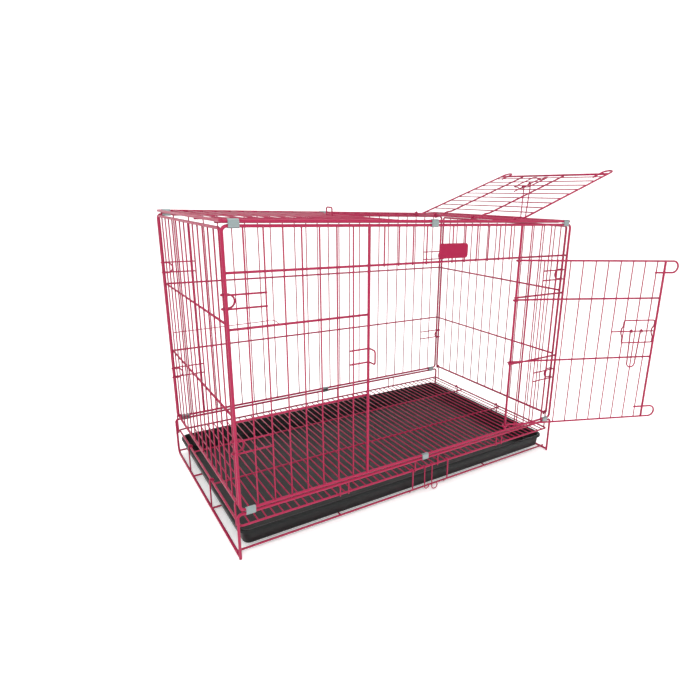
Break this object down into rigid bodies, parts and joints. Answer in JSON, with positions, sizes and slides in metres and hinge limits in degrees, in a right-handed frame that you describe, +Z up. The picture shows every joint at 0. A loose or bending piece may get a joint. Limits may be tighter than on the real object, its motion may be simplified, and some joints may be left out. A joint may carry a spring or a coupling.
{
  "type": "folding wire dog crate",
  "caption": "Pink folding wire dog crate with an open front door and lid, fold-in ends, a raised wire floor and a black slide-out tray.",
  "frame": {"origin": "end of the front left leg, on the floor", "axes": "+X along the front from left to right, +Y from front to back, +Z up"},
  "size_m": [0.9649, 0.5981, 0.6688],
  "materials": {
    "pink_wire": "gloss pink powder coat on steel wire",
    "pink_plate": "satin pink paint on thin sheet",
    "zinc_sheet": "bright zinc plating on sheet",
    "black_plastic": "satin moulded plastic"
  },
  "bodies": {
    "crate": {"back_panel": "pink_wire", "base_back_frame": "pink_wire", "base_front_frame": "pink_wire", "clip_bottom_back_left": "zinc_sheet", "clip_bottom_back_middle": "zinc_sheet", "clip_bottom_back_right": "zinc_sheet", "clip_bottom_front_left": "zinc_sheet", "clip_bottom_front_middle": "zinc_sheet", "clip_bottom_front_right": "zinc_sheet", "clip_top_back_left": "zinc_sheet", "clip_top_back_middle": "zinc_sheet", "clip_top_back_right": "zinc_sheet", "clip_top_front_left": "zinc_sheet", "clip_top_front_middle": "zinc_sheet", "clip_top_front_right": "zinc_sheet", "corner_hook_back_left_lower": "pink_wire", "corner_hook_back_left_upper": "pink_wire", "corner_hook_back_right_lower": "pink_wire", "corner_hook_back_right_upper": "pink_wire", "corner_hook_front_left_lower": "pink_wire", "corner_hook_front_left_upper": "pink_wire", "corner_hook_front_right_lower": "pink_wire", "corner_hook_front_right_upper": "pink_wire", "floor_grid": "pink_wire", "floor_support_front_left": "pink_wire", "floor_support_front_right": "pink_wire", "floor_support_left_back": "pink_wire", "floor_support_left_front": "pink_wire", "floor_support_right_back": "pink_wire", "floor_support_right_front": "pink_wire", "front_lower_rail": "pink_wire", "front_panel": "pink_wire", "latch_keeper": "pink_wire", "lid_keeper": "pink_wire", "name_plate": "pink_plate", "rear_hook_wire": "pink_wire", "side_hinge_loop_left_back": "pink_wire", "side_hinge_loop_left_front": "pink_wire", "side_hinge_loop_right_back": "pink_wire", "side_hinge_loop_right_front": "pink_wire", "top_panel": "pink_wire", "tray_rack": "pink_wire"},
    "left_panel": {"left_panel": "pink_wire"},
    "right_panel": {"right_panel": "pink_wire"},
    "front_door": {"front_door": "pink_wire", "door_bolt_guide": "pink_wire"},
    "door_bolt": {"door_bolt": "pink_wire"},
    "door_handle": {"door_bolt_handle": "pink_wire"},
    "lid": {"lid": "pink_wire", "lid_bolt_guide": "pink_wire"},
    "lid_bolt": {"lid_bolt": "pink_wire"},
    "lid_handle": {"lid_bolt_handle": "pink_wire"},
    "tray": {"tray": "black_plastic"},
    "tray_hook_left": {"tray_hook_left": "pink_wire"},
    "tray_hook_right": {"tray_hook_right": "pink_wire"}
  },
  "joints": [
    {"name": "left_panel_fold", "type": "hinge", "parent": "crate", "child": "left_panel", "pos_m": [0.005, 0.225, 0.097], "axis": [0, 1, 0], "range_deg": [0, 90]},
    {"name": "right_panel_fold", "type": "hinge", "parent": "crate", "child": "right_panel", "pos_m": [0.755, 0.225, 0.097], "axis": [0, -1, 0], "range_deg": [0, 87]},
    {"name": "front_door_hinge", "type": "hinge", "parent": "crate", "child": "front_door", "pos_m": [0.605, 0, 0.28775], "axis": [0, 0, 1], "range_deg": [-157.4, 5]},
    {"name": "door_bolt_slide", "type": "slide", "parent": "front_door", "child": "door_bolt", "axis": [0.9232, -0.3843, 0], "range_m": [0, 0.025]},
    {"name": "door_handle_swing", "type": "hinge", "parent": "door_bolt", "child": "door_handle", "pos_m": [0.89377, -0.10775, 0.3115], "axis": [0.9232, -0.3843, 0], "range_deg": [0, 100]},
    {"name": "lid_hinge", "type": "hinge", "parent": "crate", "child": "lid", "pos_m": [0.635, 0.225, 0.5505], "axis": [0, 1, 0], "range_deg": [-159.4, 0]},
    {"name": "lid_bolt_slide", "type": "slide", "parent": "lid", "child": "lid_bolt", "axis": [0.9361, 0, 0.3518], "range_m": [0, 0.025]},
    {"name": "lid_handle_swing", "type": "hinge", "parent": "lid_bolt", "child": "lid_handle", "pos_m": [0.88242, 0.256, 0.63121], "axis": [0.9361, 0, 0.3518], "range_deg": [-60, 75]},
    {"name": "tray_slide", "type": "slide", "parent": "crate", "child": "tray", "axis": [0, 1, 0], "range_m": [0, 0.4]},
    {"name": "tray_hook_left_swing", "type": "hinge", "parent": "crate", "child": "tray_hook_left", "pos_m": [0.3832, 0.0048, 0.0595], "axis": [-1, 0, 0], "range_deg": [0, 90]},
    {"name": "tray_hook_right_swing", "type": "hinge", "parent": "crate", "child": "tray_hook_right", "pos_m": [0.402, 0.0048, 0.0595], "axis": [-1, 0, 0], "range_deg": [0, 90]}
  ]
}
